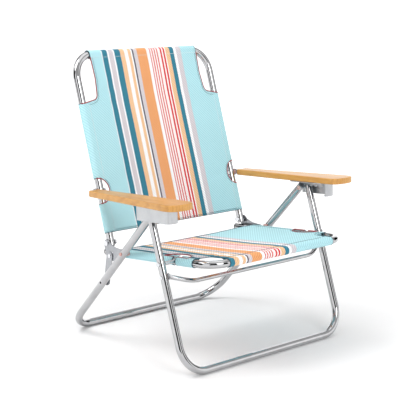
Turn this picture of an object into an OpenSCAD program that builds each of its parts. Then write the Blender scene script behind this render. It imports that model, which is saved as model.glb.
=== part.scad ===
// Low folding beach chair: bent aluminium tube frame, fabric slings, wooden arms.
// +X is the sitter's left-hand side mirrored, -Y is the front, +Z is up. Floor at z = 0.

/* [Frame tube] */
// Outside diameter of every main frame tube
tube_d = 19; // [17:0.5:19]
// Half distance between the centre lines of the back and seat side tubes
rail_x = 233.5; // [220:0.5:233.5]
// Half distance between the centre lines of the rear leg tubes
rear_x = 260.5; // [260:0.5:262]
// Half distance between the centre lines of the front leg tubes
front_x = 282.5; // [282:0.5:283]
// Bend radius of the leg corners at the floor
leg_bend = 68; // [50:1:90]
// Bend radius of the back frame's top corners
back_bend = 62; // [45:1:80]
// Bend radius of the seat frame's front corners
seat_bend = 48; // [40:1:60]

/* [Back] */
// Lean of the back from upright, in degrees
back_lean = 19.8; // [19:0.1:21]
// Length of the back frame from its hinge to the top bar's centre line
back_len = 485.7; // [440:0.1:500]

/* [Seat] */
// Slope of the seat, front edge higher, in degrees
seat_slope = 6.2; // [6:0.1:6.5]
// Distance along the rail from the front leg rivet to the front bar's centre line
seat_front = 124; // [110:1:130]

/* [Arms] */
// Thickness of the wooden arm board
arm_t = 16; // [14:0.5:16]
// Distance from the arm pivot to the tip of the board
arm_len = 372; // [360:1:380]
// Width of the board near its front end
arm_w = 80; // [70:1:84]

/* [Fabric] */
// Thickness of the sling fabric as modelled
cloth_t = 1.0; // [0.8:0.1:1.0]

/* [Hidden] */
$fn = 64;
tr = tube_d / 2;
y0 = -16.85;           // moves the whole chair so that its outline is centred on y = 0
// pivots in the side view, [y, z]
hinge = [118.5, 258];  // back to seat
link = [105, 228];     // strap to hinge plate
foot_f = [-221, tr];   // front floor bar
foot_r = [243, tr];    // rear floor bar
top = [-78, 376.5];    // both legs to the arm bracket
pin_off = 4;           // the leg-top bolt sits this far from each leg's centre line
pivot_up = 132.4;      // arm pivot, up the back frame from the hinge
arm_tilt = 4.6;
pf_len = norm(top - foot_f); pr_len = norm(top - foot_r);
f_tilt = atan2(top[0] - foot_f[0], top[1] - foot_f[1]) - asin(pin_off / pf_len);
r_tilt = atan2(foot_r[0] - top[0], top[1] - foot_r[1]) - asin(pin_off / pr_len);
f_pin = sqrt(pf_len * pf_len - pin_off * pin_off);
r_pin = sqrt(pr_len * pr_len - pin_off * pin_off);
seat_pin = 268.7;      // front leg rivet, up the front leg from the floor bar
strap_pin = 198.58;    // strap rivet, up the rear leg from the floor bar
p1 = foot_f + seat_pin * [sin(f_tilt), cos(f_tilt)];
p5 = foot_r + strap_pin * [-sin(r_tilt), cos(r_tilt)];
arm_p = hinge + pivot_up * [sin(back_lean), cos(back_lean)];
rail_len = (hinge[0] - p1[0]) / cos(seat_slope);    // leg rivet to below the hinge, along the rail
out_rail = rail_x + tr;
plate_x = 244.8; plate_t = 2.0;                     // hinge plate layer
strap_x = 247.2; strap_t = 2.0;                     // strap layer
sleeve_r = tr + 0.3;
cloth_r = sleeve_r + cloth_t;
br_x0 = 246.0; br_x1 = 297.5; br_t = 2.2;           // arm bracket's outside faces and wall
br_y0 = -212; br_y1 = -324; br_h = 36;              // its rear end, front end and depth below the flange
alu = [0.83, 0.84, 0.86]; zinc = [0.62, 0.63, 0.65]; wood = [0.80, 0.58, 0.34];
cloth = [0.70, 0.86, 0.89]; dark = [0.15, 0.15, 0.16]; nylon = [0.75, 0.62, 0.58];

// ---- placing helpers ----
module both() { children(); mirror([1, 0, 0]) children(); }
module at(p, a) { translate([0, p[0] + y0, p[1]]) rotate([a, 0, 0]) children(); }
module in_seat() { at(p1, -seat_slope) children(); }
module in_back() { at(hinge, -back_lean) children(); }
module in_front() { at(foot_f, -f_tilt) children(); }
module in_rear() { at(foot_r, r_tilt) children(); }
module in_arm() { at(arm_p, -arm_tilt) children(); }
// cylinder along X between two X positions, at a side-view point
module pin(p, xa, xb, r) { translate([xa, p[0] + y0, p[1]]) rotate([0, 90, 0]) cylinder(r = r, h = xb - xa); }
module lpin(y, z, xa, xb, r) { translate([xa, y, z]) rotate([0, 90, 0]) cylinder(r = r, h = xb - xa); }
// quarter bend in the XZ plane, from the bottom to the +X side
module bend(R, r) { rotate([90, 0, 0]) rotate([0, 0, -90]) rotate_extrude(angle = 90) translate([R, 0]) circle(r = r); }
// U of bent tube: bottom bar at z = 0, legs up to z = h
module u_tube(hw, h, R, r) {
  translate([-(hw - R), 0, 0]) rotate([0, 90, 0]) cylinder(r = r, h = 2 * (hw - R));
  both() {
    translate([hw - R, 0, R]) bend(R, r);
    translate([hw, 0, R]) cylinder(r = r, h = h - R);
  }
}
module ring(p, xa, xb, ro, ri) { difference() { pin(p, xa, xb, ro); pin(p, xa - 1, xb + 1, ri); } }

// ---- seat ----
module seat_frame() color(alu) difference() {
  in_seat() rotate([-90, 0, 0]) translate([0, 0, -seat_front]) u_tube(rail_x, seat_front + rail_len + 12, seat_bend, tr);
  in_seat() both() translate([rail_x, rail_len + 2, 0]) rotate([-90, 0, 0]) cylinder(r = tr - 1.3, h = 11);
  both() pin(p1, 215, 250, 3.0);
  both() in_seat() lpin(rail_len - 22, 0, 215, 250, 2.5);
  both() in_seat() lpin(rail_len - 66, 0, 215, 250, 2.5);
}
module seat_rear_bar() color(alu) in_seat() difference() {
  lpin(rail_len - 40, 0, -(rail_x - tr), rail_x - tr, 6.5);
  for (s = [-1, 1]) translate([s * rail_x, 0, 0]) rotate([-90, 0, 0]) cylinder(r = tr, h = 300);
}
// closed solid with the sling's true outline: sleeves round three tubes and the sitting panel
module seat_sling() color(cloth) in_seat() difference() {
  union() {
    intersection() {
      rotate([-90, 0, 0]) translate([0, 0, -seat_front]) u_tube(rail_x, seat_front + rail_len - 52, seat_bend, cloth_r);
      union() {
        both() translate([rail_x - 30, -seat_front + 60, -20]) cube([60, 400, 40]);
        translate([-184, -seat_front - 20, -20]) cube([368, 60, 40]);
      }
    }
    translate([-rail_x, -seat_front + 60, sleeve_r]) cube([2 * rail_x, seat_front - 60 + rail_len - 52, cloth_t]);
    translate([-184, -seat_front, sleeve_r]) cube([368, seat_bend + 15, cloth_t]);
  }
  rotate([-90, 0, 0]) translate([0, 0, -seat_front]) u_tube(rail_x, seat_front + rail_len, seat_bend, sleeve_r);
  both() intersection() {
    translate([rail_x + 6.1, 0, 2]) cylinder(r = 40.3, h = 28);
    translate([rail_x - 60, -60, 0]) cube([62, 120, 40]);
  }
  both() translate([rail_x - 14, -6.2, -30]) cube([40, 12.4, 60]);
  both() lpin(rail_len - 66, 0, 210, 250, 5.0);
}
// gusset plate on the outside of the rail's rear end, with the back hinge and the strap pivot
module hinge_plate() difference() {
  translate([plate_x, y0, 0]) rotate([90, 0, 90]) linear_extrude(height = plate_t)
    polygon([[128, 250], [128, 262], [123, 267], [114, 267], [104, 259], [84, 253], [49, 252], [46, 246], [46, 237], [61, 231], [92, 217], [110, 217], [118, 224]]);
  pin(hinge, 240, 250, 4.05);
  pin(link, 240, 250, 3.0);
  in_seat() lpin(rail_len - 22, 0, 240, 250, 2.5);
  in_seat() lpin(rail_len - 66, 0, 240, 250, 2.5);
}
module left_hinge_plate() color(zinc) mirror([1, 0, 0]) hinge_plate();
module right_hinge_plate() color(zinc) hinge_plate();
// rivets through rail and plate, with the stand-off collar that keeps the plate clear of the fabric
module hinge_plate_rivets() color(zinc) both() {
  in_seat() for (d = [22, 66]) {
    lpin(rail_len - d, 0, 222.6, 246.8, 2.5);
    lpin(rail_len - d, 0, 221.9, 223.95, 4.5);
    lpin(rail_len - d, 0, 243.05, 244.8, 4.2);
  }
  pin(link, plate_x, strap_x + strap_t, 3.0);
  pin(link, plate_x - 1.2, plate_x, 4.4);
  pin(link, strap_x + strap_t + 0.15, strap_x + strap_t + 1.1, 5.2);
  pin(link, strap_x + strap_t, strap_x + strap_t + 0.15, 3.0);
}
module front_leg_rivets() color(zinc) both() {
  pin(p1, 221, front_x + tr + 2.0, 3.0);
  pin(p1, 220, 223.95, 5.5);
  pin(p1, front_x + tr + 0.1, front_x + tr + 2.2, 5.5);
}
module front_leg_spacers() color(zinc) both() ring(p1, rail_x + tr + 0.05, front_x - tr - 0.4, 4.8, 3.0);
module seat_tube_plugs() color(dark) in_seat() both() translate([rail_x, rail_len + 2, 0]) rotate([-90, 0, 0]) {
  cylinder(r = tr - 1.3, h = 10);
  translate([0, 0, 10]) cylinder(r = tr, h = 2.5);
}

// ---- front leg ----
module front_leg() color(alu) difference() {
  in_front() u_tube(front_x, f_pin + 7, leg_bend, tr);
  both() pin(p1, 260, 300, 3.05);
  both() pin(top, 260, 300, 3.5);
  both() in_front() lpin(0, seat_pin - 32, 260, 300, 2.5);
}
// bowed cross tube: flat riveted ends, then inward, forward and down, and straight across
bow_in = 56; bow_drop = 30; bow_r = 5.5;
bow_end = front_x - tr - 3;              // where the flat ends stand against the legs
bow_x = bow_end - bow_in;                // corner
bow_a = 28.2;
module front_stretcher() color(alu) in_front() translate([0, 0, seat_pin - 32]) difference() {
  union() {
    both() translate([bow_end - 0.4, -7.5, -8]) cube([3.6, 15, 16]);
    rotate([50, 0, 0]) {
      translate([-(bow_x + 4), -bow_drop, 0]) rotate([0, 90, 0]) cylinder(r = bow_r, h = 2 * (bow_x + 4));
      both() translate([bow_x, -bow_drop, 0]) rotate([0, 0, bow_a]) rotate([0, 90, 0]) cylinder(r = bow_r - 0.2, h = norm([bow_in, bow_drop]) + 8);
    }
  }
  both() lpin(0, 0, 266, 300, 2.5);
  both() translate([bow_end + 2.8, -20, -20]) cube([20, 40, 40]);
}
module stretcher_rivets() color(zinc) in_front() both() {
  lpin(0, seat_pin - 32, front_x - tr - 4.0, front_x + tr + 1.2, 2.5);
  lpin(0, seat_pin - 32, front_x + tr + 0.1, front_x + tr + 1.6, 4.5);
}
module leg_top_bolts() color(zinc) both() {
  pin(top, rear_x - tr - 2.4, front_x + tr + 2.8, 3.5);
  pin(top, rear_x - tr - 2.5, rear_x - tr - 0.5, 6.2);
  pin(top, front_x + tr + 0.3, front_x + tr + 2.9, 6.2);
}

// ---- rear leg ----
module rear_leg() color(alu) difference() {
  in_rear() u_tube(rear_x, r_pin + 5.5, leg_bend, tr);
  both() pin(top, 240, 280, 3.56);
  both() pin(p5, 240, 280, 3.0);
  both() in_rear() lpin(0, spacer_up, 240, 280, 2.5);
}
spacer_up = 316;
module rear_leg_spacers() color(nylon) in_rear() both() {
  lpin(0, spacer_up, rear_x - tr - 5.6, rear_x + tr + 0.9, 2.5);
  lpin(0, spacer_up, rear_x - tr - 5.6, rear_x - tr - 0.1, 6.5);
  lpin(0, spacer_up, rear_x + tr + 0.1, rear_x + tr + 1.3, 4.5);
}
// flat bar with rounded ends, cut as one outline
strap_l = norm(p5 - link);
strap_a = atan2(p5[1] - link[1], p5[0] - link[0]);
strap_end = [for (i = [0 : 12]) let (a = -90 + 15 * i) 10.5 * [cos(a), sin(a)]];
module link_strap() difference() {
  translate([strap_x, link[0] + y0, link[1]]) rotate([strap_a, 0, 0]) rotate([90, 0, 90]) linear_extrude(height = strap_t)
    polygon(concat([for (p = strap_end) [strap_l + p[0], p[1]]], [for (p = strap_end) [-p[0], -p[1]]]));
  pin(link, 240, 255, 3.06);
  pin(p5, 240, 255, 3.0);
}
module left_link_strap() color(zinc) mirror([1, 0, 0]) link_strap();
module right_link_strap() color(zinc) link_strap();
// rivets at the straps' lower ends; the leg's hole runs free on a slightly thinner shank
module link_rivets() color(zinc) both() {
  pin(p5, strap_x - 1.2, strap_x + strap_t + 0.3, 3.0);
  pin(p5, strap_x + strap_t + 0.3, rear_x - tr - 0.4, 4.6);
  pin(p5, strap_x - 1.3, strap_x - 0.05, 5.0);
}

// ---- back ----
back_tail = 8.4;  // tube below the hinge bolt
module hinge_bolts() color(zinc) both() {
  pin(hinge, 221.5, 250.0, 4.0);
  pin(hinge, 219.5, 223.6, 6.6);
  pin(hinge, 247.1, 250.3, 6.4);
}
module back_frame() color(alu) difference() {
  in_back() translate([0, 0, back_len]) mirror([0, 0, 1]) u_tube(rail_x, back_len + back_tail, back_bend, tr);
  both() pin(hinge, 215, 250, 4.06);
  both() pin(arm_p, 215, 250, 4.06);
  in_back() both() translate([rail_x, 0, -back_tail]) cylinder(r = tr - 1.3, h = 3.6);
}
module back_tube_plugs() color(dark) in_back() both() translate([rail_x, 0, -back_tail]) {
  translate([0, 0, -1.2]) cylinder(r = tr - 1, h = 1.2);
  cylinder(r = tr - 1.3, h = 3.4);
}
sl_bot = 26; cut_z = 361; cut_x = 184; pocket = 33;
// closed solid with the sling's true outline: sleeves on both sides and the top bar, hand cut-outs at the corners
module back_sling() color(cloth) in_back() difference() {
  union() {
    intersection() {
      translate([0, 0, back_len]) mirror([0, 0, 1]) u_tube(rail_x, back_len - sl_bot, back_bend, cloth_r);
      union() {
        both() translate([rail_x - 30, -20, sl_bot]) cube([60, 40, cut_z - sl_bot]);
        translate([-cut_x, -20, back_len - 20]) cube([2 * cut_x, 40, 40]);
      }
    }
    translate([-rail_x, -cloth_r, sl_bot]) cube([2 * rail_x, cloth_t, cut_z - sl_bot]);
    translate([-cut_x, -cloth_r, cut_z - 1]) cube([2 * cut_x, cloth_t, back_len - cut_z + 1]);
  }
  translate([0, 0, back_len]) mirror([0, 0, 1]) u_tube(rail_x, back_len, back_bend, sleeve_r);
  both() translate([rail_x + 10.8, -30, pivot_up]) rotate([-90, 0, 0]) cylinder(r = pocket, h = 60);
  both() translate([cut_x + 20, -30, cut_z]) rotate([-90, 0, 0]) cylinder(r = 20, h = 60);
}
module arm_pivot_washers() color(nylon) both() ring(arm_p, out_rail + 0.1, 246.8, 7, 4.06);
module arm_pivot_bolts() color(zinc) both() {
  pin(arm_p, 221.5, 254.8, 4.0);
  pin(arm_p, 219.5, 223.6, 7.0);
  pin(arm_p, 252.2, 255.2, 6.2);
}

// ---- arms, drawn on the +X side ----
arm_x0 = 246.0;
// rounded nose: half of a squared-off oval
function nose(n) = [for (i = [0 : n]) let (a = 180 * i / n, c = cos(a), q = sin(a))
  [arm_x0 + 1 + arm_w / 2 + (arm_w / 2) * sign(c) * pow(abs(c), 0.72), -(arm_len - 36) - 36 * pow(q, 0.72)]];
module armrest() in_arm() difference() {
  translate([0, 0, -arm_t / 2]) linear_extrude(height = arm_t)
    polygon(concat([[arm_x0, -11], [arm_x0 + 33, -11], [arm_x0 + 36.5, -14.5]], nose(28)));
  translate([eye_x, -42.2, 0]) rotate([-90, 0, 0]) cylinder(r = 1.9, h = 40);
  for (y = screw_y) translate([arm_mid, y, -arm_t / 2 - 1]) cylinder(r = 2.0, h = 12);
}
eye_x = 249.7; arm_mid = 271.4; screw_y = [-218, -316];
module left_armrest() color(wood) mirror([1, 0, 0]) armrest();
module right_armrest() color(wood) armrest();
// channel under the board: outer wall wrapped round a closed front, open below, inside and at the rear, with a notched rib for the leg-top bolt
function arc(c, r, a0, a1, n) = [for (i = [0 : n]) let (a = a0 + (a1 - a0) * i / n) c + r * [cos(a), sin(a)]];
br_c1 = [br_x1 - 12, br_y1 + 12]; br_c2 = [272, br_y1 + 10];
br_out = concat(arc(br_c1, 12, 0, -90, 8), arc(br_c2, 10, -90, -150, 6));
br_in = concat(arc(br_c2, 10 - br_t, -150, -90, 6), arc(br_c1, 12 - br_t, -90, 0, 8));
module arm_bracket() in_arm() translate([0, 0, -arm_t / 2]) difference() {
  union() {
    translate([0, 0, -br_t]) linear_extrude(height = br_t)
      polygon(concat([[br_x0, br_y0], [br_x1, br_y0]], br_out, [[br_x0, br_y1 + 30]]));
    translate([0, 0, -br_h]) linear_extrude(height = br_h)
      polygon(concat([[br_x1, br_y0]], br_out, br_in, [[br_x1 - br_t, br_y0]]));
    // lip across the front, below
    translate([0, 0, -br_h]) linear_extrude(height = br_t) polygon(concat(br_out, [[268, br_y1 + 12]]));
    // position rib between the two legs
    translate([270.6, 0, 0]) rotate([90, 0, 90]) linear_extrude(height = 1.7)
      polygon([[-226, -1], [-226, -13.2], [-306, -13.2], [-306, -1]]);
  }
  for (k = [0 : 3]) lpin(-240.1 - 16 * k, -13.6, 268, 274, 3.9);
  for (y = screw_y) translate([arm_mid, y, -10]) cylinder(r = 2.05, h = 20);
}
module left_arm_bracket() color(zinc) mirror([1, 0, 0]) arm_bracket();
module right_arm_bracket() color(zinc) arm_bracket();
module arm_eye() in_arm() difference() {
  union() {
    lpin(0, 0, 247.0, 252.0, 8.6);
    translate([eye_x, -42, 0]) rotate([-90, 0, 0]) cylinder(r = 1.9, h = 36);
  }
  lpin(0, 0, 240, 260, 4.06);
}
module left_arm_eye() color(zinc) mirror([1, 0, 0]) arm_eye();
module right_arm_eye() color(zinc) arm_eye();
module arm_screws() in_arm() {
  for (y = screw_y) translate([arm_mid, y, 0]) {
    translate([0, 0, -arm_t / 2 - br_t - 0.5]) cylinder(r = 2.0, h = br_t + 11);
    translate([0, 0, -arm_t / 2 - br_t - 1.5]) cylinder(r = 3.9, h = 1.4);
  }
}
module left_arm_screws() color(zinc) mirror([1, 0, 0]) arm_screws();
module right_arm_screws() color(zinc) arm_screws();

seat_frame();
seat_rear_bar();
seat_sling();
left_hinge_plate();
right_hinge_plate();
hinge_plate_rivets();
front_leg_rivets();
front_leg_spacers();
seat_tube_plugs();
front_leg();
front_stretcher();
stretcher_rivets();
leg_top_bolts();
rear_leg();
rear_leg_spacers();
left_link_strap();
right_link_strap();
link_rivets();
hinge_bolts();
back_frame();
back_sling();
back_tube_plugs();
arm_pivot_washers();
arm_pivot_bolts();
left_armrest();
left_arm_bracket();
left_arm_eye();
left_arm_screws();
right_armrest();
right_arm_bracket();
right_arm_eye();
right_arm_screws();
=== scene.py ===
import bpy, bmesh, math
from mathutils import Vector, Matrix, noise
from mathutils.geometry import delaunay_2d_cdt


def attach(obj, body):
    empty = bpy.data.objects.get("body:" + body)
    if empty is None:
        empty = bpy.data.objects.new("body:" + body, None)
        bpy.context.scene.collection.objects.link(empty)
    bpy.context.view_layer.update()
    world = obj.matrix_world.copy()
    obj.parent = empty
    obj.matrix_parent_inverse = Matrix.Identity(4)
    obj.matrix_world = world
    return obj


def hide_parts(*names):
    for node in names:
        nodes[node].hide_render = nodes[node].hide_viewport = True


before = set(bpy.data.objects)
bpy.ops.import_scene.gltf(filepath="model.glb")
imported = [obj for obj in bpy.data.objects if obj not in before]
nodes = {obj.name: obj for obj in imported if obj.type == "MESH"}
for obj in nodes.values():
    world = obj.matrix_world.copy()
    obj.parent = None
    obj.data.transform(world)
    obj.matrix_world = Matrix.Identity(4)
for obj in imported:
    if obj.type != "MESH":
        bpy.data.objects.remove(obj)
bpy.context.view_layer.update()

# ------------------------------------------------------------------ shared sizes, metres
Y0 = -0.01685
TR = 0.0095                       # frame tube radius
RAIL = 0.2335                     # side tubes of back and seat
FRONTX = 0.2825
HINGE = (0.1185 + Y0, 0.258)
P1 = (-0.142844, 0.260843)
P3 = (-0.078 + Y0, 0.3765)
P4 = (0.146499, 0.382573)
FOOT_F = (-0.221 + Y0, 0.0095)
LEAN, SLOPE, ARM_TILT, F_TILT, R_TILT = 19.8, 6.2, 4.6, 20.70629, 40.70482
BACK_LEN = 0.4857
RAIL_LEN = (HINGE[0] - P1[0]) / math.cos(math.radians(SLOPE))
SEAT_FRONT = 0.124
UP = 0.1324                       # arm pivot, up the back
R_CLOTH = 0.0103                  # middle of the cloth round a tube


def local(point, deg):
    """Side-view frame: origin at (y, z), turned by deg about +X."""
    return Matrix.Translation((0, point[0], point[1])) @ Matrix.Rotation(math.radians(deg), 4, "X")


IN_SEAT, IN_BACK = local(P1, -SLOPE), local(HINGE, -LEAN)
IN_ARM, IN_FRONT = local(P4, -ARM_TILT), local(FOOT_F, -F_TILT)


# ------------------------------------------------------------------ node helpers
class Mat:
    def __init__(self, name):
        self.m = bpy.data.materials.new(name)
        self.m.use_nodes = True
        self.t = self.m.node_tree
        self.t.nodes.clear()
        self.out = self.n("ShaderNodeOutputMaterial")
        self.b = self.n("ShaderNodeBsdfPrincipled")
        self.link(self.b.outputs["BSDF"], self.out.inputs["Surface"])

    def n(self, kind, **kw):
        x = self.t.nodes.new(kind)
        for k, v in kw.items():
            setattr(x, k, v)
        return x

    def link(self, a, b):
        self.t.links.new(a, b)

    def set(self, **kw):
        for k, v in kw.items():
            self.b.inputs[k.replace("_", " ")].default_value = v

    def coords(self, kind="Object", scale=(1, 1, 1), rot=(0, 0, 0)):
        c = self.n("ShaderNodeTexCoord")
        m = self.n("ShaderNodeMapping")
        m.inputs["Scale"].default_value = scale
        m.inputs["Rotation"].default_value = rot
        self.link(c.outputs[kind], m.inputs["Vector"])
        return m.outputs["Vector"]

    def noise(self, vec, scale, detail=3.0, rough=0.55, dist=0.0):
        x = self.n("ShaderNodeTexNoise")
        x.inputs["Scale"].default_value = scale
        x.inputs["Detail"].default_value = detail
        x.inputs["Roughness"].default_value = rough
        x.inputs["Distortion"].default_value = dist
        self.link(vec, x.inputs["Vector"])
        return x.outputs["Fac"]

    def wave(self, vec, scale, axis="X", dist=0.0, detail=2.0, dscale=1.0, profile="SIN", kind="BANDS"):
        x = self.n("ShaderNodeTexWave", wave_type=kind, wave_profile=profile)
        if kind == "BANDS":
            x.bands_direction = axis
        else:
            x.rings_direction = axis
        x.inputs["Scale"].default_value = scale
        x.inputs["Distortion"].default_value = dist
        x.inputs["Detail"].default_value = detail
        x.inputs["Detail Scale"].default_value = dscale
        self.link(vec, x.inputs["Vector"])
        return x.outputs["Fac"]

    def ramp(self, fac, stops, interp="LINEAR"):
        x = self.n("ShaderNodeValToRGB")
        x.color_ramp.interpolation = interp
        e = x.color_ramp.elements
        while len(e) > 1:
            e.remove(e[-1])
        e[0].position, e[0].color = stops[0][0], col(stops[0][1])
        for p, c in stops[1:]:
            k = e.new(p)
            k.color = col(c)
        self.link(fac, x.inputs["Fac"])
        return x.outputs["Color"]

    def math(self, op, a, b=None, c=None):
        x = self.n("ShaderNodeMath", operation=op)
        for i, v in enumerate((a, b, c)):
            if v is None:
                continue
            if isinstance(v, (int, float)):
                x.inputs[i].default_value = v
            else:
                self.link(v, x.inputs[i])
        return x.outputs[0]

    def mix(self, fac, a, b, blend="MIX"):
        x = self.n("ShaderNodeMix", data_type="RGBA", blend_type=blend)
        for s, v in ((x.inputs[0], fac), (x.inputs[6], a), (x.inputs[7], b)):
            if isinstance(v, (int, float)):
                s.default_value = v
            elif isinstance(v, tuple):
                s.default_value = col(v)
            else:
                self.link(v, s)
        return x.outputs[2]

    def bump(self, height, strength=0.3, distance=0.0005, normal=None):
        x = self.n("ShaderNodeBump")
        x.inputs["Strength"].default_value = strength
        x.inputs["Distance"].default_value = distance
        self.link(height, x.inputs["Height"])
        if normal is not None:
            self.link(normal, x.inputs["Normal"])
        return x.outputs["Normal"]

    def edges(self, radius):
        x = self.n("ShaderNodeBevel", samples=6)
        x.inputs["Radius"].default_value = radius
        return x.outputs["Normal"]


def lin(v):
    v /= 255.0
    return v / 12.92 if v <= 0.04045 else ((v + 0.055) / 1.055) ** 2.4


def rgb(r, g, b):
    return (lin(r), lin(g), lin(b), 1.0)


def col(c):
    if isinstance(c, (int, float)):
        return (c, c, c, 1.0)
    return tuple(c) if len(c) == 4 else tuple(c) + (1.0,)


# ------------------------------------------------------------------ materials
def metal(name, base, dark, r0, r1, scratch=0.06, edge=0.0):
    m = Mat(name)
    v = m.coords()
    m.set(Metallic=1.0)
    n1 = m.noise(v, 38.0, 4.0)
    m.link(m.mix(m.ramp(n1, [(0.35, 0.0), (0.75, 1.0)]), base, dark), m.b.inputs["Base Color"])
    fine = m.noise(m.coords(scale=(420, 60, 60)), 3.0, 5.0, 0.7)
    rough = m.math("MULTIPLY_ADD", fine, r1 - r0, r0)
    m.link(rough, m.b.inputs["Roughness"])
    norm = m.edges(edge) if edge else None
    m.link(m.bump(fine, scratch, 0.00012, norm), m.b.inputs["Normal"])
    return m.m


MAT_TUBE = metal("polished_tube", (0.50, 0.50, 0.51), (0.43, 0.43, 0.44), 0.03, 0.09, 0.07)
MAT_ZINC = metal("zinc_plate", (0.42, 0.43, 0.45), (0.34, 0.35, 0.37), 0.22, 0.42, 0.20, 0.0008)
MAT_BRACKET = metal("bracket_steel", (0.54, 0.55, 0.56), (0.46, 0.47, 0.49), 0.28, 0.46, 0.22, 0.0012)
MAT_RIVET = metal("rivet_steel", (0.72, 0.73, 0.75), (0.60, 0.61, 0.63), 0.12, 0.30, 0.15, 0.0006)


def plastic(name, base, rough):
    m = Mat(name)
    v = m.coords()
    n = m.noise(v, 900.0, 3.0)
    c2 = tuple(x * 0.86 for x in base[:3])
    m.link(m.mix(m.noise(v, 60.0, 2.0), base, c2), m.b.inputs["Base Color"])
    m.link(m.math("MULTIPLY_ADD", n, 0.18, rough), m.b.inputs["Roughness"])
    m.link(m.bump(n, 0.15, 0.0002, m.edges(0.0006)), m.b.inputs["Normal"])
    return m.m


MAT_PLUG = plastic("plug_moulded", rgb(34, 34, 37), 0.42)
MAT_NYLON = plastic("spacer_moulded", rgb(206, 160, 152), 0.38)


def wood():
    m = Mat("arm_wood")
    # object Y runs along the board
    v = m.coords(scale=(1, 0.05, 1.3))
    big = m.noise(v, 34.0, 5.0, 0.6, 0.9)
    rings = m.wave(m.coords(scale=(1, 0.035, 1)), 42.0, "X", 5.0, 3.0, 0.9)
    grain = m.ramp(rings, [(0.0, rgb(200, 144, 68)), (0.45, rgb(210, 156, 78)), (0.8, rgb(190, 132, 58)), (1.0, rgb(170, 112, 44))])
    tone = m.ramp(big, [(0.3, rgb(214, 162, 84)), (0.7, rgb(186, 130, 58))])
    base = m.mix(0.65, grain, tone)
    pores = m.noise(m.coords(scale=(1, 0.03, 1)), 620.0, 4.0, 0.7)
    spots = m.ramp(pores, [(0.36, 0.72), (0.5, 1.0)])
    base = m.mix(0.55, base, spots, "MULTIPLY")
    m.link(base, m.b.inputs["Base Color"])
    m.link(m.math("MULTIPLY_ADD", big, 0.16, 0.30), m.b.inputs["Roughness"])
    m.set(Coat_Weight=0.25, Coat_Roughness=0.22)
    m.link(m.bump(pores, 0.22, 0.0003), m.b.inputs["Normal"])
    return m.m


MAT_WOOD = wood()

AQUA, AQUA2 = rgb(172, 218, 226), rgb(190, 227, 231)
TEAL, ORANGE, TAN = rgb(40, 120, 142), rgb(228, 158, 102), rgb(231, 188, 146)
LILAC, WHITE, RED, DARK = rgb(204, 198, 203), rgb(240, 240, 241), rgb(208, 48, 46), rgb(84, 78, 92)
HALF = 0.31                        # the stripes' ramp spans -HALF..HALF across
STRIPES = [(-0.310, AQUA), (-0.150, WHITE), (-0.1465, TEAL), (-0.1289, WHITE), (-0.1254, LILAC), (-0.1113, WHITE),
           (-0.1060, TEAL), (-0.0867, TAN), (-0.0708, WHITE), (-0.0603, TAN), (-0.0497, WHITE), (-0.0444, DARK),
           (-0.0392, LILAC), (-0.0286, ORANGE), (0.0066, WHITE), (0.0735, TAN), (0.0876, TEAL), (0.1034, WHITE),
           (0.1122, LILAC), (0.1298, AQUA)]
# thin red lines on white between the orange and the tan band: centre, width
LINES = [(0.0190, 0.0026), (0.0270, 0.0030), (0.0355, 0.0032), (0.0440, 0.0036), (0.0580, 0.0056), (0.0685, 0.0056)]


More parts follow.
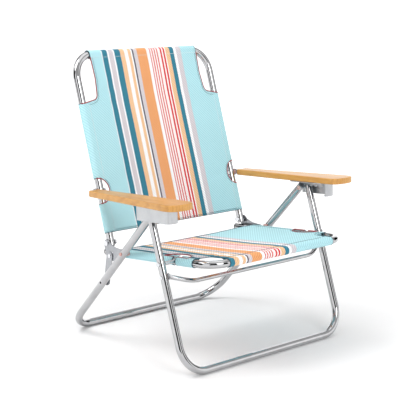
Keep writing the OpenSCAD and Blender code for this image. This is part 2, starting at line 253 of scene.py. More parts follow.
def fabric(name, shift, weft=0.0):
    m = Mat(name)
    uv = m.n("ShaderNodeTexCoord").outputs["UV"]
    sep = m.n("ShaderNodeSeparateXYZ")
    m.link(uv, sep.inputs[0])
    s = sep.outputs["X"]
    pos = m.math("MULTIPLY_ADD", s, 1.0, -shift)
    fac = m.math("MULTIPLY_ADD", pos, 0.5 / HALF, 0.5)
    f = lambda x: (x + HALF) / (2 * HALF)
    base = m.ramp(fac, [(max(0.0, f(p)), c) for p, c in STRIPES], "CONSTANT")
    lo, hi = 0.015, 0.0735
    g = lambda x: (x - lo) / (hi - lo)
    lf = m.math("MULTIPLY_ADD", pos, 1 / (hi - lo), -lo / (hi - lo))
    stops = [(0.0, WHITE)]
    for c, w in LINES:
        stops += [(g(c - w / 2), RED), (g(c + w / 2), rgb(244, 232, 230))]
    reds = m.ramp(lf, stops, "CONSTANT")
    mask = m.math("MULTIPLY", m.math("GREATER_THAN", pos, lo), m.math("LESS_THAN", pos, hi))
    base = m.mix(mask, base, reds)
    # weave: warp and weft threads, plus uneven yarn colour
    v = m.n("ShaderNodeMapping")
    m.link(uv, v.inputs["Vector"])
    v = v.outputs["Vector"]
    warp = m.wave(v, 1 / 0.0011 / 6.2832 * 6.2832 / 20 * 3.1416, "X", 0.25, 1.0, 40.0)
    weft_w = m.wave(v, 1 / 0.0013 / 6.2832 * 6.2832 / 20 * 3.1416, "Y", 0.25, 1.0, 40.0)
    weave = m.math("MULTIPLY", warp, weft_w)
    slub = m.n("ShaderNodeMapping")
    slub.inputs["Scale"].default_value = (1, 14, 1)
    m.link(uv, slub.inputs["Vector"])
    yarn = m.noise(slub.outputs["Vector"], 190.0, 4.0, 0.65)
    twill = m.wave(v, 76.0, "DIAGONAL", 0.8, 2.0, 6.0)
    base = m.mix(1.0, base, m.ramp(twill, [(0.0, (0.84, 0.88, 0.89)), (0.5, (0.97, 0.98, 0.98)), (1.0, (1.18, 1.12, 1.10))]), "MULTIPLY")
    base = m.mix(m.math("MULTIPLY", weave, 0.05), base, (1, 1, 1))
    base = m.mix(0.75, base, m.ramp(yarn, [(0.3, 0.86), (0.7, 1.06)]), "MULTIPLY")
    age = m.noise(m.coords("Object"), 7.0, 3.0)
    base = m.mix(0.5, base, m.ramp(age, [(0.3, 0.94), (0.7, 1.0)]), "MULTIPLY")
    m.link(base, m.b.inputs["Base Color"])
    m.link(m.math("MULTIPLY_ADD", yarn, 0.14, 0.66), m.b.inputs["Roughness"])
    m.set(Sheen_Weight=0.04, Sheen_Roughness=0.45, Specular_IOR_Level=0.25)
    h = m.math("ADD", weave, m.math("MULTIPLY", yarn, 0.5))
    m.link(m.bump(h, 0.35, 0.0004), m.b.inputs["Normal"])
    return m.m


MAT_BACK = fabric("back_fabric", 0.0)
MAT_SEAT = fabric("seat_fabric", -0.085)


def thread(name, c):
    m = Mat(name)
    n = m.noise(m.coords(), 1500.0, 2.0)
    m.link(m.mix(n, c, tuple(x * 0.8 for x in c[:3])), m.b.inputs["Base Color"])
    m.set(Roughness=0.7)
    m.link(m.bump(n, 0.3, 0.0001), m.b.inputs["Normal"])
    return m.m


MAT_THREAD = thread("stitch_thread", rgb(228, 236, 238))
MAT_HEM = thread("hem_thread", rgb(58, 92, 106))
MAT_BIND = thread("edge_binding", rgb(158, 62, 66))


# ------------------------------------------------------------------ mesh helpers
def add(name, verts, faces, mat, smooth=True):
    me = bpy.data.meshes.new(name)
    me.from_pydata([tuple(v) for v in verts], [], faces)
    me.update()
    me.materials.append(mat)
    if smooth:
        me.polygons.foreach_set("use_smooth", [True] * len(me.polygons))
    ob = bpy.data.objects.new(name, me)
    bpy.context.scene.collection.objects.link(ob)
    return ob


def sweep(path, radius, sides=20, closed_ends=True, squash=None):
    """Round tube along a list of points. squash(i) gives (along first normal, along second) scales."""
    verts, faces = [], []
    n = len(path)
    tang = []
    for i in range(n):
        a, b = path[max(0, i - 1)], path[min(n - 1, i + 1)]
        tang.append((b - a).normalized())
    up = Vector((0, 0, 1)) if abs(tang[0].z) < 0.9 else Vector((0, 1, 0))
    u = (up - tang[0] * up.dot(tang[0])).normalized()
    for i in range(n):
        u = (u - tang[i] * u.dot(tang[i])).normalized()
        w = tang[i].cross(u)
        k = squash(i) if squash else (1.0, 1.0)
        for j in range(sides):
            a = 2 * math.pi * j / sides
            verts.append(path[i] + u * (radius * k[0] * math.cos(a)) + w * (radius * k[1] * math.sin(a)))
    for i in range(n - 1):
        for j in range(sides):
            p, q = i * sides + j, i * sides + (j + 1) % sides
            faces.append((p, q, q + sides, p + sides))
    if closed_ends:
        faces.append(tuple(reversed(range(sides))))
        faces.append(tuple(range((n - 1) * sides, n * sides)))
    return verts, faces


def join_parts(parts):
    verts, faces = [], []
    for v, f in parts:
        o = len(verts)
        verts += v
        faces += [tuple(i + o for i in q) for q in f]
    return verts, faces


def inside(p, loop):
    x, y = p
    r = False
    j = len(loop) - 1
    for i in range(len(loop)):
        xi, yi = loop[i]
        xj, yj = loop[j]
        if (yi > y) != (yj > y) and x < (xj - xi) * (y - yi) / (yj - yi) + xi:
            r = not r
        j = i
    return r


def near_loop(p, loop, d):
    x, y = p
    for i in range(len(loop)):
        ax, ay = loop[i - 1]
        bx, by = loop[i]
        if min(ax, bx) - d > x or max(ax, bx) + d < x or min(ay, by) - d > y or max(ay, by) + d < y:
            continue
        L = (bx - ax) ** 2 + (by - ay) ** 2
        t = 0 if L == 0 else max(0, min(1, ((x - ax) * (bx - ax) + (y - ay) * (by - ay)) / L))
        if math.hypot(x - ax - t * (bx - ax), y - ay - t * (by - ay)) < d:
            return True
    return False


def resample(loop, step):
    out = []
    for i in range(len(loop)):
        a, b = loop[i], loop[(i + 1) % len(loop)]
        n = max(1, int(math.ceil(math.hypot(b[0] - a[0], b[1] - a[1]) / step)))
        for k in range(n):
            out.append((a[0] + (b[0] - a[0]) * k / n, a[1] + (b[1] - a[1]) * k / n))
    return out


def round_corners(pts, radii, n=7):
    """Rounds the corners of a closed polygon."""
    out = []
    m = len(pts)
    for i in range(m):
        p, a, b = Vector(pts[i]), Vector(pts[i - 1]), Vector(pts[(i + 1) % m])
        r = radii[i]
        if r <= 0:
            out.append(tuple(p))
            continue
        da, db = (a - p).normalized(), (b - p).normalized()
        ang = da.angle(db)
        t = min(r / math.tan(ang / 2), (a - p).length * 0.49, (b - p).length * 0.49)
        s, e = p + da * t, p + db * t
        for k in range(n + 1):
            f = k / n
            out.append(tuple((1 - f) ** 2 * s + 2 * f * (1 - f) * p + f * f * e))
    return out


def grid_values(lo, hi, fine_lo, fine_hi, coarse, fine):
    """Coarse steps between fine_lo and fine_hi, fine steps outside."""
    out = []
    x = lo
    while x < fine_lo:
        out.append(x)
        x += fine
    n = max(1, int((fine_hi - fine_lo) / coarse))
    out += [fine_lo + (fine_hi - fine_lo) * i / n for i in range(n + 1)]
    x = fine_hi + fine
    while x < hi:
        out.append(x)
        x += fine
    return out


# ------------------------------------------------------------------ cloth round a tube
SEAM = 0.0130                      # the sleeve is sewn this far inside the tube's centre line
_sx, _sy = -SEAM, -R_CLOTH + 0.0010
_sl = math.hypot(_sx, _sy)
_tan = math.sqrt(_sl ** 2 - R_CLOTH ** 2)
_phi = math.atan2(_sy, _sx) % (2 * math.pi) - math.acos(R_CLOTH / _sl)
WRAP = (_phi + math.pi / 2) * R_CLOTH
_t = Vector((math.cos(_phi) * R_CLOTH, math.sin(_phi) * R_CLOTH))
SLEEVE = WRAP + _tan + 0.0060      # cloth beyond the side tube's centre line


def wrap(d):
    """d: cloth beyond the tube's centre line. Returns (outward, away from the sitter)."""
    if d <= 0:
        return d, -R_CLOTH
    if d < WRAP:
        a = d / R_CLOTH
        return R_CLOTH * math.sin(a), -R_CLOTH * math.cos(a)
    d -= WRAP
    if d < _tan:
        p = _t.lerp(Vector((_sx, _sy)), d / _tan)
        return p.x, p.y
    return _sx - (d - _tan), _sy + 0.0002


def sling(name, loop, mapper, svals, tvals, mat, extra):
    """Cloth from a flat cut: loop is its outline, mapper takes a flat point to space."""
    loop = resample(loop, 0.0035)
    pts = [Vector(p) for p in loop]
    edges = [(i, (i + 1) % len(loop)) for i in range(len(loop))]
    for s in svals:
        for t in tvals:
            if inside((s, t), loop) and not near_loop((s, t), loop, 0.0012):
                pts.append(Vector((s, t)))
    v, e, f, _, _, _ = delaunay_2d_cdt(pts, edges, [], 1, 1e-6)
    area = 0.0
    for q in f:
        a, b, c = (v[i] for i in q[:3])
        area += abs((b - a).cross(c - a)) / 2
    verts = [mapper(p.x, p.y) for p in v]
    ob = add(name, verts, [tuple(q) for q in f], mat)
    uv = ob.data.uv_layers.new(name="UVMap")
    for l in ob.data.loops:
        p = v[l.vertex_index]
        uv.data[l.index].uv = (p.x, p.y)
    so = ob.modifiers.new("thickness", "SOLIDIFY")
    so.thickness = 0.0007
    so.offset = 0.0
    ss = [p[0] for p in loop]
    ts = [p[1] for p in loop]
    extra["flat"] = (max(ss) - min(ss), max(ts) - min(ts))
    extra["area"] = area
    return ob


def stitches(name, lines, mapper, normal_push, mat, pitch=0.0040, length=0.0028, r=0.00034):
    """Rows of short raised stitches along flat lines on the cloth."""
    parts = []
    for line in lines:
        seg = [Vector(p) for p in line]
        d = [0.0]
        for a, b in zip(seg, seg[1:]):
            d.append(d[-1] + (b - a).length)

        def at(x):
            for i in range(len(seg) - 1):
                if x <= d[i + 1]:
                    return seg[i].lerp(seg[i + 1], (x - d[i]) / max(1e-9, d[i + 1] - d[i]))
            return seg[-1]
        x = pitch / 2
        while x + length < d[-1]:
            path = []
            for k in range(4):
                p = at(x + length * k / 3)
                lift = normal_push + r * (0.9 if k in (1, 2) else -0.4)
                path.append(mapper(p.x, p.y, lift))
            parts.append(sweep(path, r, 6))
            x += pitch
    v, f = join_parts(parts)
    return add(name, v, f, mat)


# ------------------------------------------------------------------ back sling
SL_BOT, CUT_Z = 0.0255, 0.3590
S_END = RAIL + SLEEVE
T_END = BACK_LEN + SLEEVE


def back_map(s, t, lift=0.0):
    side = 1 if s >= 0 else -1
    a = abs(s)
    du, w = wrap(a - RAIL)
    x = side * (RAIL + du)
    z = t
    nx, nw, nz = 0.0, -1.0, 0.0
    if a > RAIL and a - RAIL < WRAP:
        ang = (a - RAIL) / R_CLOTH
        nx, nw = side * math.sin(ang), -math.cos(ang)
    if t > BACK_LEN:
        du, w = wrap(t - BACK_LEN)
        z = BACK_LEN + du
        if t - BACK_LEN < WRAP:
            ang = (t - BACK_LEN) / R_CLOTH
            nz, nw = math.sin(ang), -math.cos(ang)
    elif a < RAIL:
        # the panel hangs back a little in the middle, with slight pulls from the corners and sleeves
        u = min(1.0, max(0.0, (RAIL - 0.018 - a) / 0.16))
        v = min(1.0, max(0.0, (BACK_LEN - 0.012 - t) / 0.12))
        k = (u * u * (3 - 2 * u)) * (v * v * (3 - 2 * v))
        w += 0.0030 * k
        fade = min(1.0, u * 4) * min(1.0, v * 5)
        p = Vector((s * 9.0, t * 2.0, 3.1))
        w += 0.0011 * fade * noise.noise(p) + 0.0005 * fade * noise.noise(Vector((s * 34.0, t * 5.0, 8.0)))
        # drag lines running in from the hand cut-outs and from the arm pivots
        for (cs, ct, amp) in ((0.190, 0.375, 0.0012), (0.226, UP, 0.0013)):
            dx, dz = cs - a, ct - t
            rr = math.hypot(dx, dz)
            th = math.atan2(dz, dx)
            w += amp * math.sin(th * 9.0 + 1.3 * side) * math.exp(-rr / 0.07) * min(1.0, rr / 0.02) * min(1.0, u * 3)
        if t < SL_BOT + 0.03:
            w += 0.0006 * math.sin(s * 95.0) * fade * (1 - (t - SL_BOT) / 0.03)
    return IN_BACK @ Vector((x + nx * lift, w + nw * lift, z + nz * lift))


# half-round pocket at the arm pivot, from the side tube's far side inwards
POCKET = [(RAIL + 0.0108 - 0.033 * math.cos(b), UP + 0.033 * math.sin(b)) for b in [math.radians(-70 + 140 * i / 24) for i in range(25)]]


def half_back(sign):
    """Right-hand outline from the bottom middle up to the top middle."""
    p = [(0.0, SL_BOT), (S_END, SL_BOT), (S_END, UP - 0.0326), (RAIL + 0.0125, UP - 0.0330)] + POCKET + [(RAIL + 0.0125, UP + 0.0330), (S_END, UP + 0.0326),
         (S_END, CUT_Z - 0.0005), (0.2350, CUT_Z - 0.0005), (0.1900, CUT_Z + 0.0080), (0.1845, CUT_Z + 0.062), (0.1865, BACK_LEN), (0.1870, T_END), (0.0, T_END)]
    r = [0, 0.004, 0.003, 0.0] + [0.0] * len(POCKET) + [0.0, 0.003, 0.004, 0.016, 0.018, 0.03, 0.0, 0.004, 0]
    return p, r


P, RR = half_back(1)
ring = P[1:-1] + [(-x, y) for x, y in reversed(P[1:-1])]
radii = RR[1:-1] + list(reversed(RR[1:-1]))
back_loop = round_corners(ring, radii)
svals = grid_values(-S_END, S_END, -RAIL, RAIL, 0.0065, 0.0022)
tvals = grid_values(SL_BOT, T_END, SL_BOT + 0.001, BACK_LEN, 0.0065, 0.0022)
info = {}
back_sling = sling("back_sling_cloth", back_loop, back_map, svals, tvals, MAT_BACK, info)
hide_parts("back_sling")
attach(back_sling, "back")


def seam_lines(loop_map_rows):
    return loop_map_rows


cut_in = [(0.2210, CUT_Z - 0.006), (0.2050, CUT_Z - 0.0035), (0.1925, CUT_Z + 0.0015), (0.1845, CUT_Z + 0.014), (0.1790, CUT_Z + 0.05), (0.1800, BACK_LEN - 0.012)]
rows, pale = [], []
for sgn in (-1, 1):
    sx = sgn * (RAIL - SEAM)
    pale.append([(sx, SL_BOT + 0.003), (sx, UP - 0.0310)])
    rows.append([(sgn * (RAIL + 0.0108 - 0.0372 * math.cos(math.radians(b))), UP + 0.0372 * math.sin(math.radians(b))) for b in range(-51, 52, 6)])
    pale.append([(sx, UP + 0.0310), (sx, CUT_Z - 0.006)])
    rows.append([(sgn * a, b) for a, b in cut_in])
top_stitch = stitches("back_top_stitching", pale + [[(-0.183, BACK_LEN - SEAM + 0.002), (0.183, BACK_LEN - SEAM + 0.002)]], back_map, 0.00040, MAT_THREAD, r=0.00045)
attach(top_stitch, "back")
rows.append([(-RAIL + 0.014, SL_BOT + 0.0045), (RAIL - 0.014, SL_BOT + 0.0045)])
back_stitch = stitches("back_stitching", rows, back_map, 0.00040, MAT_HEM, r=0.00050)
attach(back_stitch, "back")


def binding(name, loop, mapper, mat, width=0.0007):
    """A thin rolled edge all round the cloth."""
    loop = resample(loop, 0.004)
    path = [mapper(p[0], p[1], 0.0) for p in loop] + [mapper(loop[0][0], loop[0][1], 0.0)]
    v, f = sweep(path, width, 7, closed_ends=False)
    return add(name, v, f, mat)


def runs(loop, keep):
    """Stretches of a closed loop whose points satisfy keep."""
    loop = resample(loop, 0.0025)
    n = len(loop)
    first = next(i for i in range(n) if not keep(loop[i]))
    out, cur = [], []
    for k in range(1, n + 1):
        q = loop[(first + k) % n]
        if keep(q):
            cur.append(q)
        elif cur:
            if len(cur) > 3:
                out.append(cur)
            cur = []
    return out


def tape(name, stretches, mapper, mat, half=0.0014):
    """Folded tape over a cut edge."""
    parts = []
    for q in stretches:
        parts.append(sweep([mapper(a, b, 0.0) for a, b in q], half, 9))
    v, f = join_parts(parts)
    return add(name, v, f, mat)


def back_cuts(q):
    a, t = abs(q[0]), q[1]
    return (t > CUT_Z - 0.0025 and 0.1835 < a < 0.246 and t < BACK_LEN - 0.008) or (a < RAIL + 0.0124 and a > 0.205 and abs(t - UP) < 0.0331)


back_tape = tape("back_cut_tape", runs(back_loop, back_cuts), back_map, MAT_BIND)
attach(back_tape, "back")
back_bind = binding("back_edge_binding", back_loop, back_map, MAT_HEM, 0.0008)
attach(back_bind, "back")

# ------------------------------------------------------------------ seat sling
SEAT_REAR = RAIL_LEN - 0.052
SIDE_END = -SEAT_FRONT + 0.060


def seat_map(s, t, lift=0.0):
    """t runs towards the front: -SEAT_REAR at the rear edge, SEAT_FRONT at the front bar."""
    side = 1 if s >= 0 else -1
    a = abs(s)
    du, w = wrap(a - RAIL)
    x = side * (RAIL + du)
    y = t
    nx, nw, ny = 0.0, -1.0, 0.0
    if a > RAIL and a - RAIL < WRAP:
        ang = (a - RAIL) / R_CLOTH
        nx, nw = side * math.sin(ang), -math.cos(ang)
    if t > SEAT_FRONT:
        du, w = wrap(t - SEAT_FRONT)
        y = SEAT_FRONT + du
        if t - SEAT_FRONT < WRAP:
            ang = (t - SEAT_FRONT) / R_CLOTH
            ny, nw = math.sin(ang), -math.cos(ang)
    elif a < RAIL:
        u = min(1.0, max(0.0, (RAIL - 0.018 - a) / 0.17))
        v = min(1.0, max(0.0, (SEAT_FRONT - 0.012 - t) / 0.13))
        k = (u * u * (3 - 2 * u)) * (v * v * (3 - 2 * v))
        w += 0.0025 * k
        fade = min(1.0, u * 4) * min(1.0, v * 5)
        w += 0.0012 * fade * noise.noise(Vector((s * 8.0, t * 3.0, 5.7))) + 0.0005 * fade * noise.noise(Vector((s * 30.0, t * 7.0, 1.0)))
        for (cs, ct, amp) in ((0.190, 0.075, 0.0014),):
            dx, dz = cs - a, ct - t
            rr = math.hypot(dx, dz)
            th = math.atan2(dz, dx)
            w += amp * math.sin(th * 8.0 + 0.7 * side) * math.exp(-rr / 0.06) * min(1.0, rr / 0.02) * min(1.0, u * 3)
    return IN_SEAT @ Vector((x + nx * lift, -(y + ny * lift), -(w + nw * lift)))


SF_END = SEAT_FRONT + SLEEVE
def moon(y):
    """How far in the half-moon cut-out at the leg rivet reaches."""
    return RAIL + 0.0061 - math.sqrt(0.0403 ** 2 - y * y)


MOON = [(S_END, -0.0062), (RAIL + 0.0020, -0.0062), (RAIL + 0.0020, -0.0401)] + [(moon(0.0403 * math.sin(b)), 0.0403 * math.sin(b)) for b in [math.radians(-80 + 8 * i) for i in range(21)]] + [(RAIL + 0.0020, 0.0401), (RAIL + 0.0020, 0.0062), (S_END, 0.0062)]
SP = [(S_END, -SEAT_REAR)] + MOON + [(S_END, -SIDE_END), (0.2350, -SIDE_END), (0.1890, -SIDE_END + 0.010), (0.1840, SEAT_FRONT - 0.012), (0.1850, SF_END)]
SR = [0.004] + [0.0] * len(MOON) + [0.004, 0.014, 0.018, 0.02, 0.004]
sring = SP + [(-x, y) for x, y in reversed(SP)]
seat_loop = round_corners(sring, SR + list(reversed(SR)))
svals = grid_values(-S_END, S_END, -RAIL, RAIL, 0.0065, 0.0022)
tvals = grid_values(-SEAT_REAR, SF_END, -SEAT_REAR + 0.001, SEAT_FRONT, 0.0065, 0.0022)
info2 = {}
seat_sling = sling("seat_sling_cloth", seat_loop, seat_map, svals, tvals, MAT_SEAT, info2)
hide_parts("seat_sling")
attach(seat_sling, "seat")
rows = []
for sgn in (-1, 1):
    sx = sgn * (RAIL - SEAM)
    rows.append([(sx, -SEAT_REAR + 0.003), (sx, -0.0430)] + [(sgn * (RAIL + 0.0061 - 0.0446 * math.cos(math.radians(b))), 0.0446 * math.sin(math.radians(b))) for b in range(-60, 61, 8)]
                + [(sx, 0.0430), (sx, -SIDE_END - 0.006)])
    rows.append([(sx, -SIDE_END - 0.006), (sgn * 0.196, -SIDE_END - 0.001), (sgn * 0.1835, -SIDE_END + 0.012), (sgn * 0.179, -SIDE_END + 0.03), (sgn * 0.179, SEAT_FRONT - 0.013)])
rows.append([(-0.180, SEAT_FRONT - SEAM + 0.001), (0.180, SEAT_FRONT - SEAM + 0.001)])
rows.append([(-RAIL + 0.014, -SEAT_REAR + 0.005), (RAIL - 0.014, -SEAT_REAR + 0.005)])
seat_stitch = stitches("seat_stitching", rows, seat_map, 0.00040, MAT_HEM, r=0.00050)
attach(seat_stitch, "seat")
seat_tape = tape("seat_cut_tape", runs(seat_loop, lambda q: abs(q[1]) < 0.0404 and 0.19 < abs(q[0]) < RAIL + 0.0023), seat_map, MAT_BIND)
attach(seat_tape, "seat")
seat_bind = binding("seat_edge_binding", seat_loop, seat_map, MAT_HEM, 0.0008)
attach(seat_bind, "seat")

# ------------------------------------------------------------------ wooden arms
AX0, AW, AL, AT = 0.246, 0.080, 0.372, 0.016


def nose(n):
    out = []
    for i in range(n + 1):
        a = math.pi * i / n
        c, q = math.cos(a), math.sin(a)
        sg = (c > 0) - (c < 0)
        out.append((AX0 + 0.001 + AW / 2 + (AW / 2) * sg * abs(c) ** 0.72, -(AL - 0.036) - 0.036 * max(q, 0) ** 0.72))
    return out


def armrest(sign):
    o = [(AX0 + 0.0001, -0.0112), (AX0 + 0.0325, -0.0112), (AX0 + 0.0362, -0.0145)]
    o += nose(30)
    o = round_corners(o, [0.003, 0.005, 0.004] + [0.0] * 31, 4)
    o = resample(o, 0.012)
    bm = bmesh.new()
    top = [bm.verts.new((x * sign, y, AT / 2 - 0.0001)) for x, y in o]
    bot = [bm.verts.new((x * sign, y, -AT / 2 + 0.0001)) for x, y in o]
    bm.faces.new(top if sign < 0 else list(reversed(top)))
    bm.faces.new(bot if sign > 0 else list(reversed(bot)))
    n = len(o)
    for i in range(n):
        j = (i + 1) % n
        bm.faces.new((top[i], top[j], bot[j], bot[i]) if sign > 0 else (top[j], top[i], bot[i], bot[j]))
    bmesh.ops.recalc_face_normals(bm, faces=bm.faces)
    rim = [e for e in bm.edges if abs(e.verts[0].co.z - e.verts[1].co.z) < 1e-6]
    bmesh.ops.bevel(bm, geom=rim, offset=0.0030, offset_type="OFFSET", segments=4, profile=0.5, affect="EDGES", clamp_overlap=True)
    me = bpy.data.meshes.new("armrest")
    bm.to_mesh(me)
    bm.free()
    me.transform(IN_ARM)
    me.materials.append(MAT_WOOD)
    me.polygons.foreach_set("use_smooth", [True] * len(me.polygons))
    ob = bpy.data.objects.new(("left" if sign < 0 else "right") + "_armrest_board", me)
    bpy.context.scene.collection.objects.link(ob)
    w = ob.modifiers.new("normals", "WEIGHTED_NORMAL")
    w.keep_sharp = False
    return ob


for sign, side in ((-1, "left"), (1, "right")):
    ob = armrest(sign)
    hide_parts(side + "_armrest")
    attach(ob, side + "_arm")

# ------------------------------------------------------------------ front stretcher: swept tube with flattened, riveted ends
BOW_IN, BOW_DROP, BOW_R = 0.056, 0.030, 0.0055
BOW_END = FRONTX - TR - 0.003
BOW_X = BOW_END - BOW_IN
STR = IN_FRONT @ Matrix.Translation((0, 0, 0.2687 - 0.032)) @ Matrix.Rotation(math.radians(50), 4, "X")
half = []
a = math.atan2(BOW_DROP, BOW_IN)
t = 0.085 * math.tan(a / 2)
for i in range(9):
    b = a * i / 8
    half.append(Vector((BOW_X - t + 0.085 * math.sin(b), -BOW_DROP + 0.085 - 0.085 * math.cos(b), 0)))
last = half[-1]
end = Vector((BOW_END + 0.0005, 0, 0))
for k in range(1, 11):
    half.append(last.lerp(end, k / 10))
path = [Vector((-p.x, p.y, 0)) for p in reversed(half)] + half
m = len(path)


def flat_end(i):
    d = min(abs(path[i].x - path[0].x), abs(path[-1].x - path[i].x))
    f = max(0.0, 1 - d / 0.020)
    f = f * f * (3 - 2 * f)
    return 1.0 + 0.25 * f, 1.0 - 0.55 * f


v, f = sweep(path, BOW_R, 24, True, flat_end)
parts = [(v, f)]
for sgn in (-1, 1):
    # rounded tab against the leg
    prof = round_corners([(-0.0072, -0.0078), (0.0072, -0.0078), (0.0072, 0.0078), (-0.0072, 0.0078)], [0.0045] * 4, 5)
    rot = Matrix.Rotation(math.radians(-50), 4, "X")
    tv, tf = [], []
    layers = [(-0.0007, 0.86), (-0.0003, 1.0), (0.0024, 1.0), (0.0027, 0.95)]
    for dx, k in layers:
        for y, z in prof:
            tv.append(rot @ Vector((sgn * (BOW_END + dx), y * k, z * k)))
    n = len(prof)
    for L in range(len(layers) - 1):
        for j in range(n):
            q = (L * n + j, L * n + (j + 1) % n, (L + 1) * n + (j + 1) % n, (L + 1) * n + j)
            tf.append(q if sgn > 0 else tuple(reversed(q)))
    cap0, cap1 = tuple(range(n)), tuple(range((len(layers) - 1) * n, len(layers) * n))
    tf += [tuple(reversed(cap0)) if sgn > 0 else cap0, cap1 if sgn > 0 else tuple(reversed(cap1))]
    parts.append((tv, tf))
v, f = join_parts(parts)
stretcher = add("front_stretcher_tube", [STR @ p for p in v], f, MAT_TUBE)
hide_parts("front_stretcher")
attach(stretcher, "front_legs")

# ------------------------------------------------------------------ carried-over CAD nodes
KEEP = {
    "seat_frame": MAT_TUBE, "seat_rear_bar": MAT_TUBE, "front_leg": MAT_TUBE, "rear_leg": MAT_TUBE, "back_frame": MAT_TUBE,
    "left_hinge_plate": MAT_ZINC, "right_hinge_plate": MAT_ZINC, "left_link_strap": MAT_ZINC, "right_link_strap": MAT_ZINC,
    "left_arm_eye": MAT_ZINC, "right_arm_eye": MAT_ZINC, "left_arm_bracket": MAT_BRACKET, "right_arm_bracket": MAT_BRACKET,
    "hinge_plate_rivets": MAT_RIVET, "front_leg_rivets": MAT_RIVET, "stretcher_rivets": MAT_RIVET, "leg_top_bolts": MAT_RIVET,
    "link_rivets": MAT_RIVET, "hinge_bolts": MAT_RIVET, "arm_pivot_bolts": MAT_RIVET, "left_arm_screws": MAT_RIVET, "right_arm_screws": MAT_RIVET,
    "seat_tube_plugs": MAT_PLUG, "back_tube_plugs": MAT_PLUG,
    "front_leg_spacers": MAT_RIVET, "rear_leg_spacers": MAT_NYLON, "arm_pivot_washers": MAT_NYLON,
}
for name, mat in KEEP.items():
    o = nodes[name]
    if not o.data.materials:
        o.data.materials.append(mat)
    for i in range(len(o.material_slots)):
        o.material_slots[i].material = mat

# ------------------------------------------------------------------ floor
me = bpy.data.meshes.new("floor")
me.from_pydata([(-60, -60, 0), (60, -60, 0), (60, 60, 0), (-60, 60, 0)], [], [(0, 1, 2, 3)])
floor = bpy.data.objects.new("floor", me)
bpy.context.scene.collection.objects.link(floor)
fm = Mat("floor_paper")
fm.set(Roughness=0.85, Specular_IOR_Level=0.2)
fs = fm.n("ShaderNodeSeparateXYZ")
fm.link(fm.coords(), fs.inputs[0])
fx, fy = fs.outputs["X"], fs.outputs["Y"]
far = fm.math("SQRT", fm.math("ADD", fm.math("MULTIPLY", fx, fx), fm.math("MULTIPLY", fy, fy)))
paper = fm.mix(fm.noise(fm.coords(), 3.0, 2.0), (0.90, 0.90, 0.905), (0.915, 0.915, 0.92))
fm.link(paper, fm.b.inputs["Base Color"])
fm.b.inputs["Emission Color"].default_value = (1.0, 1.0, 1.0, 1.0)
fm.link(fm.ramp(fm.math("DIVIDE", far, 4.0), [(0.08, 0.0), (0.30, 0.20), (0.70, 0.55), (1.0, 0.60)], "EASE"), fm.b.inputs["Emission Strength"])
me.materials.append(fm.m)

# ------------------------------------------------------------------ world and lights
w = bpy.data.worlds.new("studio")
bpy.context.scene.world = w
w.use_nodes = True
nt = w.node_tree
nt.nodes.clear()
out = nt.nodes.new("ShaderNodeOutputWorld")
bg = nt.nodes.new("ShaderNodeBackground")
tc = nt.nodes.new("ShaderNodeTexCoord")
sep = nt.nodes.new("ShaderNodeSeparateXYZ")
nt.links.new(tc.outputs["Generated"], sep.inputs[0])


def wm(op, a, b=None):
    x = nt.nodes.new("ShaderNodeMath")
    x.operation = op
    for i, v in enumerate((a, b)):
        if v is None:
            continue
        if isinstance(v, (int, float)):
            x.inputs[i].default_value = v
        else:
            nt.links.new(v, x.inputs[i])
    return x.outputs[0]


def wramp(fac, stops):
    x = nt.nodes.new("ShaderNodeValToRGB")
    e = x.color_ramp.elements
    while len(e) > 1:
        e.remove(e[-1])
    e[0].position, e[0].color = stops[0][0], col(stops[0][1])
    for p, c in stops[1:]:
        k = e.new(p)
        k.color = col(c)
    nt.links.new(fac, x.inputs["Fac"])
    return x.outputs["Color"]


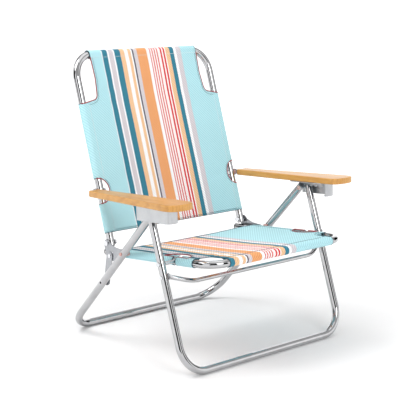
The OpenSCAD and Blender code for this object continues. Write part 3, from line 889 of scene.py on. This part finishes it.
# azimuth from 0 to 1: the walls of the studio are bright panels with dark gaps between them
az = wm("ADD", wm("DIVIDE", wm("ARCTAN2", sep.outputs["X"], sep.outputs["Y"]), 2 * math.pi), 0.5)
walls = wramp(az, [(0.0, 2.2), (0.05, 2.2), (0.07, 0.0), (0.16, 0.0), (0.18, 2.4), (0.26, 2.4), (0.28, 0.0), (0.40, 0.0), (0.42, 2.2),
                   (0.49, 2.4), (0.51, 0.0), (0.60, 0.0), (0.62, 2.4), (0.70, 2.4), (0.72, 0.0), (0.82, 0.0), (0.84, 2.4), (0.90, 2.4), (0.92, 0.0), (0.98, 0.0), (1.0, 2.2)])
roof = wramp(sep.outputs["Z"], [(0.0, 0.0), (0.42, 0.0), (0.60, 1.0), (1.0, 1.0)])
mx = nt.nodes.new("ShaderNodeMix")
mx.data_type = "RGBA"
nt.links.new(roof, mx.inputs[0])
nt.links.new(walls, mx.inputs[6])
mx.inputs[7].default_value = (1.0, 1.0, 1.0, 1.0)
nt.links.new(mx.outputs[2], bg.inputs["Color"])
bg.inputs["Strength"].default_value = 0.62
nt.links.new(bg.outputs[0], out.inputs["Surface"])


def area(name, loc, target, size, power):
    d = bpy.data.lights.new(name, "AREA")
    d.shape = "RECTANGLE"
    d.size, d.size_y = size
    d.energy = power
    o = bpy.data.objects.new(name, d)
    o.location = loc
    o.rotation_euler = (Vector(target) - Vector(loc)).to_track_quat("-Z", "Y").to_euler()
    bpy.context.scene.collection.objects.link(o)
    return o


area("key", (-1.6, 0.9, 2.8), (0, 0, 0.2), (1.6, 1.6), 52)
area("fill", (-0.6, -2.8, 1.9), (0, 0, 0.35), (1.6, 1.2), 34)
area("top", (0.3, 0.2, 3.2), (0, 0, 0.2), (2.6, 2.6), 22)

# ------------------------------------------------------------------ camera
cam = bpy.data.cameras.new("camera")
co = bpy.data.objects.new("camera", cam)
bpy.context.scene.collection.objects.link(co)
cam.sensor_fit = "HORIZONTAL"
cam.sensor_width = 36.0
cam.lens = 1241.0 * 36.0 / 416.0
AZ, EL, ROLL = math.radians(-44.515), math.radians(12.130), math.radians(1.960)
bk = Vector((math.sin(AZ) * math.cos(EL), -math.cos(AZ) * math.cos(EL), math.sin(EL)))
fwd = -bk
rt = fwd.cross(Vector((0, 0, 1))).normalized()
up = rt.cross(fwd)
cr, sr = math.cos(ROLL), math.sin(ROLL)
r2 = rt * cr + up * sr
u2 = -rt * sr + up * cr
mat = Matrix(((r2.x, u2.x, bk.x), (r2.y, u2.y, bk.y), (r2.z, u2.z, bk.z))).to_4x4()
mat.translation = Vector((-2.19622851, -2.22333976 + Y0, 1.01016887))
co.matrix_world = mat
cam.clip_end = 300
bpy.context.scene.camera = co

bpy.context.scene.view_settings.view_transform = "Standard"
